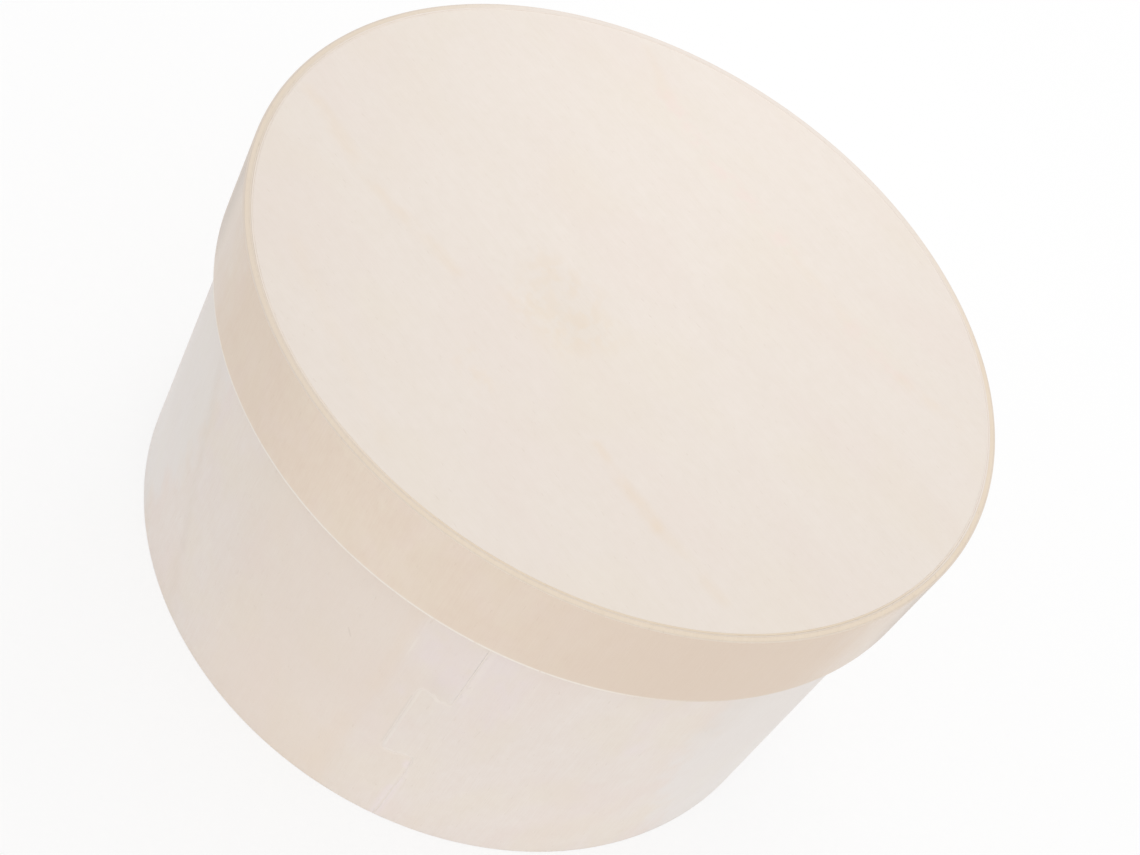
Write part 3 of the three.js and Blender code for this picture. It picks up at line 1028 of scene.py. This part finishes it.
def bend_panel(panel, body, glue_ring, seam, turn, ease, finishes, slot):
    """Bends the three plies of a panel round, with the glue in their seam."""
    plies = plies_of(panel, glue_ring)
    radius = plies[0][1]
    girth = 2 * math.pi * radius
    outline = panel_outline(seam, girth, 0.0)
    inset = panel_outline(seam, girth, LIP_WIDTH)
    ring = {"Panel radius": radius, "Seam turn": turn, "Foot": foot(plies[0][0])}
    rows = zip(plies, finishes, (slot, "core_veneer", slot), ((1.0, 0.0), (0.0, 0.0), (0.0, 1.0)))
    for (node, outside, thickness), (face, edge), ply_slot, (ease_out, ease_in) in rows:
        drawn = cut_out(f"{node}_flat", outline, inset, girth / COLUMNS_ROUND)
        values = {**ring, "Radius": outside, "Thickness": thickness, "Face": face, "Edge": edge,
                  "Ease outside": ease_out, "Ease inside": ease_in}
        eased = ease if ease_out or ease_in else 0.0
        ply = shaped(node.replace("_ply", "_veneer"), drawn, BENT_SHEET, values, eased)
        fitted(ply, node, body)
    bend_seam_glue(panel, body, seam, ring, girth, radius, plies[-1][1] - plies[-1][2])


def bend_seam_glue(panel, body, seam, ring, girth, outside, inside):
    drawn = cut_out(f"{panel}_glue_flat", kerf_outline(seam), [], girth / COLUMNS_ROUND)
    face = outside - SEAM_GLUE_RECESS
    values = {**ring, "Radius": face, "Thickness": face - inside, "Face": SEAM_GLUE, "Edge": SEAM_GLUE}
    glue = shaped(f"{panel}_seam_glue_line", drawn, BENT_SHEET, values)
    fitted(glue, f"{panel}_seam_glue", body)


def bend_strip(node, name, body, turn):
    """Bends the strip of thin veneer that backs a seam."""
    low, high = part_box(node)
    outside = max(abs(low.y), abs(high.y))
    thickness = outside - math.hypot(min(abs(low.y), abs(high.y)), high.x)
    size = (high.x, high.z - low.z)
    outline, inset = strip_outline(*size, 0.0), strip_outline(*size, LIP_WIDTH)
    drawn = cut_out(f"{node}_flat", outline, inset, 2 * math.pi * outside / COLUMNS_ROUND)
    values = {"Panel radius": outside, "Radius": outside, "Thickness": thickness, "Seam turn": turn,
              "Foot": low.z, "Ease outside": 0.0, "Ease inside": 1.0, "Face": STRIP, "Edge": FACE_EDGE}
    fitted(shaped(name, drawn, BENT_SHEET, values, STRIP_EASE), node, body)


def cut_disc_ply(node, body, face, edge, underside, top_side):
    """Cuts one ply of a disc. The last two are the shares of easing on its underside and its top."""
    values = {"Radius": outer_radius(node), "Thickness": rise(node), "Foot": foot(node),
              "Ease underside": underside, "Ease top": top_side, "Face": face, "Edge": edge}
    blank = draft(f"{node}_blank", [])
    ease = DISC_EASE if underside or top_side else 0.0
    fitted(shaped(node.replace("_ply", "_veneer"), blank, ROUND_SHEET, values, ease), node, body)


def run_glue_bead(node, name, body, profile, glue):
    """Turns a joint's glue from its profile: points of distance from the axis and height."""
    inside = min(radius for radius, _ in profile)
    points = [(radius - inside, -height, 0.0) for radius, height in profile]
    drawn = draft(f"{node}_profile", points, loop_edges(0, len(points)))
    values = {"Radius": inside, "Wobble": GLUE_WOBBLE, "Wobble size": GLUE_WOBBLE_SIZE, "Face": glue}
    fitted(shaped(name, drawn, GLUE_RING, values), node, body)


def hollow(start, end):
    """A hollow curve from start to end, as glue draws itself into a corner."""
    corner = (start[0], end[1])
    middle = tuple((a + b) / 2 * (1 - BEAD_HOLLOW) + c * BEAD_HOLLOW for a, b, c in zip(start, end, corner))
    points = []
    for step in range(BEAD_STEPS + 1):
        share = step / BEAD_STEPS
        weights = ((1 - share) ** 2, 2 * share * (1 - share), share ** 2)
        points.append(tuple(sum(w * p[i] for w, p in zip(weights, (start, middle, end))) for i in (0, 1)))
    return points


def run_base_glue():
    node = "base_glue_ring"
    outer, inner = outer_radius(node), outer_radius("base_disc_face_ply") + GLUE_FILM
    shelf = top("base_disc_face_ply") + GLUE_FILM
    leg = top(node) - top("base_disc_face_ply")
    bead = hollow((outer, top(node)), (outer - leg, shelf))
    profile = [(outer, foot(node)), *bead, (inner, shelf), (inner, foot(node))]
    run_glue_bead(node, "base_glue_bead", "box", profile, GLUE)


def run_lid_glue():
    node = "lid_glue_ring"
    outer, inner = outer_radius(node), outer_radius("lid_disc_face_ply") + GLUE_FILM
    shelf = foot("lid_disc_back_ply") - GLUE_FILM
    leg = foot("lid_disc_back_ply") - foot(node)
    bead = hollow((outer, foot(node)), (outer - leg, shelf))[::-1]
    profile = [(outer, top(node)), (inner, top(node)), (inner, shelf), *bead]
    run_glue_bead(node, "lid_glue_bead", "lid", profile, RIM_GLUE)


def bend_wall():
    seam = (rise("wall_outer_ply"), *WALL_SEAM)
    outside = wall_face(2 * math.pi * outer_radius("wall_outer_ply"))
    finishes = ((outside, FACE_EDGE), (CORE, CORE), (wall_inside(), FACE_EDGE))
    bend_panel("wall", "box", "base_glue_ring", seam, 0.0, WALL_EASE, finishes, "wall_face")
    bend_strip("wall_seam_strip", "wall_seam_backing", "box", 0.0)


def bend_lid_band():
    seam = (rise("lid_band_outer_ply"), *BAND_SEAM)
    outside = band_face(2 * math.pi * outer_radius("lid_band_outer_ply"))
    finishes = ((outside, RIM_OUTER_EDGE), (RIM_CORE, RIM_CORE), (band_inside(), RIM_INNER_EDGE))
    bend_panel("lid_band", "lid", "lid_glue_ring", seam, LID_SEAM_TURN, BAND_EASE, finishes, "band_face")
    bend_strip("lid_band_seam_strip", "lid_band_seam_backing", "lid", LID_SEAM_TURN)


def cut_disc(disc, body, top_face, underside_face):
    """Cuts a disc's three plies, with the face ply on top."""
    cut_disc_ply(f"{disc}_face_ply", body, top_face, FACE_EDGE, 0.0, 1.0)
    cut_disc_ply(f"{disc}_core_ply", body, CORE, CORE, 0.0, 0.0)
    cut_disc_ply(f"{disc}_back_ply", body, underside_face, FACE_EDGE, 1.0, 0.0)


FACE_EDGE = cut_edge("face_ply_edge", END_GRAIN_TONES)
CORE = cut_edge("core_veneer", CORE_TONES)
STRIP = strip_face()
RIM_OUTER_EDGE = cut_edge("rim_outer_edge", RIM_GRAIN_TONES, RIM_OUTER_CASTS)
RIM_CORE = cut_edge("rim_core", CORE_TONES, RIM_CORE_CASTS)
RIM_INNER_EDGE = cut_edge("rim_inner_edge", RIM_GRAIN_TONES, RIM_INNER_CASTS)
GLUE = dried_glue("dried_glue", GLUE_TONES)
RIM_GLUE = dried_glue("rim_glue", RIM_GLUE_TONES, RIM_GLUE_CASTS)
SEAM_GLUE = dried_glue("seam_glue", SEAM_GLUE_TONES)

bend_wall()
bend_lid_band()
base_wood = base_face()
cut_disc("base_disc", "box", base_wood, base_wood)
cut_disc("lid_disc", "lid", lid_face(), lid_underside())
run_base_glue()
run_lid_glue()


# Floor, world and lamps
def seen_directly(tree):
    """1 for rays that show the background itself: the camera's, and those in gloss and glass."""
    path = add(tree, "ShaderNodeLightPath").outputs
    gloss = calc(tree, "MAXIMUM", path["Is Glossy Ray"], path["Is Transmission Ray"])
    return calc(tree, "MAXIMUM", path["Is Camera Ray"], gloss)


def make_world():
    world = bpy.data.worlds.new("white room")
    tree = empty_tree(world)
    strength = calc(tree, "MULTIPLY_ADD", seen_directly(tree), 1.0 - ROOM_LIGHT, ROOM_LIGHT)
    light = out(tree, "ShaderNodeBackground", {"Color": WHITE, "Strength": strength})
    add(tree, "ShaderNodeOutputWorld", {"Surface": light})
    bpy.context.scene.world = world


def floor_material():
    """A pale floor that looks white where it is lit, keeps a soft shadow and fades into the room."""
    material = bpy.data.materials.new("floor")
    tree = empty_tree(material)
    matt = out(tree, "ShaderNodeBsdfDiffuse", {"Color": FLOOR_COLOUR})
    white = out(tree, "ShaderNodeBsdfDiffuse", {"Color": WHITE})
    glow = out(tree, "ShaderNodeEmission", {"Color": WHITE})
    share = ramp(tree, measured(tree, "LENGTH", own_place(tree)), *FLOOR_FADE, FLOOR_GLOW_SHARE, 1.0)
    faded = out(tree, "ShaderNodeMixShader", {0: share, 1: white, 2: glow})
    shown = out(tree, "ShaderNodeMixShader", {0: seen_directly(tree), 1: matt, 2: faded})
    add(tree, "ShaderNodeOutputMaterial", {"Surface": shown})
    return material


def make_floor():
    half = FLOOR_SIZE / 2
    corners = [(x * half, y * half, FLOOR_DROP) for x, y in ((-1, -1), (1, -1), (1, 1), (-1, 1))]
    floor = draft("floor", corners, faces=[(0, 1, 2, 3)])
    floor.data.materials.append(floor_material())


def make_lamp(name, place, size, power):
    lamp = bpy.data.lights.new(name, "AREA")
    lamp.shape = "DISK"
    lamp.size = size
    lamp.energy = power
    turn_to(new_object(name, lamp), Vector(place), Vector((0, 0, top("lid_disc_face_ply"))))


make_world()
make_floor()
for lamp in LAMPS:
    make_lamp(*lamp)
bpy.context.scene.view_settings.view_transform = "Standard"
